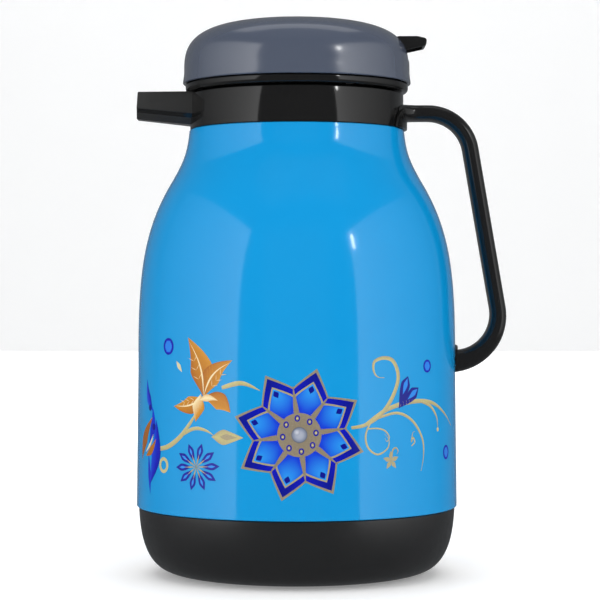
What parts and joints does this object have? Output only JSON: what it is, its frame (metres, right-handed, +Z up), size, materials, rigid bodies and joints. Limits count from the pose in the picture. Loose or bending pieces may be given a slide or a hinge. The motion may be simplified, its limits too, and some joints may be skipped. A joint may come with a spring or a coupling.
{
  "type": "vacuum jug",
  "caption": "Insulated table jug: glass refill in a moulded casing, pouring spout, side handle and a screw-in stopper whose thumb lever lifts a sprung valve.",
  "frame": {"origin": "on the jug's axis, at the level that it stands on, in the middle of the bottom cap's flat face", "axes": "+Z up along the jug's axis, -X towards the spout, +X towards the handle and the thumb lever"},
  "size_m": [0.1842, 0.1594, 0.2742],
  "materials": {
    "shell_plastic": "glossy moulded plastic with printed flowers",
    "dome_plastic": "glossy moulded plastic",
    "black_plastic": "satin to glossy moulded plastic",
    "silvered_glass": "silvered on the sides that face the vacuum",
    "silicone": "matte",
    "rubber": "matte",
    "steel": "plain"
  },
  "bodies": {
    "jug": {"base_cup": "black_plastic", "refill_cushion": "rubber", "outer_shell": "shell_plastic", "refill_outer_wall": "silvered_glass", "refill_inner_wall": "silvered_glass", "glass_pad_1": "silicone", "glass_pad_2": "silicone", "glass_pad_3": "silicone", "neck_seal": "silicone", "collar": "black_plastic", "handle": "black_plastic", "handle_screw_upper": "steel", "handle_screw_lower": "steel"},
    "bottom_cap": {"bottom_cap": "black_plastic"},
    "stopper_seal": {"stopper_gasket": "silicone"},
    "stopper": {"stopper_body": "black_plastic", "valve_seat": "black_plastic", "stem_spring": "steel", "stem_seal_ring": "silicone", "gland_cap": "black_plastic", "lever_pin": "steel", "dome_cap": "dome_plastic", "dome_screw_1": "steel", "dome_screw_2": "steel", "dome_screw_3": "steel"},
    "lever": {"thumb_lever": "black_plastic"},
    "valve": {"valve_stem": "black_plastic", "valve_seal": "silicone", "stem_nut": "black_plastic"}
  },
  "joints": [
    {"name": "bottom_cap_turn", "type": "hinge", "parent": "jug", "child": "bottom_cap", "pos_m": [0, 0, 0], "axis": [0, 0, 1], "range_deg": [0, 60]},
    {"name": "stopper_rise", "type": "slide", "parent": "jug", "child": "stopper_seal", "axis": [0, 0, 1], "range_m": [0, 0.0481]},
    {"name": "stopper_turn", "type": "hinge", "parent": "stopper_seal", "child": "stopper", "pos_m": [0, 0, 0.22], "axis": [0, 0, 1], "range_deg": [0, 720]},
    {"name": "lever_press", "type": "hinge", "parent": "stopper", "child": "lever", "pos_m": [0.034, 0, 0.256], "axis": [0, 1, 0], "range_deg": [0, 9], "stiffness_Nm_per_rad": 0.8, "springref_deg": -5.73},
    {"name": "valve_lift", "type": "slide", "parent": "stopper", "child": "valve", "axis": [0, 0, 1], "range_m": [0, 0.0054], "deforming": ["stem_spring"]}
  ],
  "couplings": [
    {"joint": "stopper_rise", "follows": "stopper_turn", "m_per_rad": 0.0038197},
    {"joint": "valve_lift", "follows": "lever_press", "m_per_rad": 0.034}
  ]
}
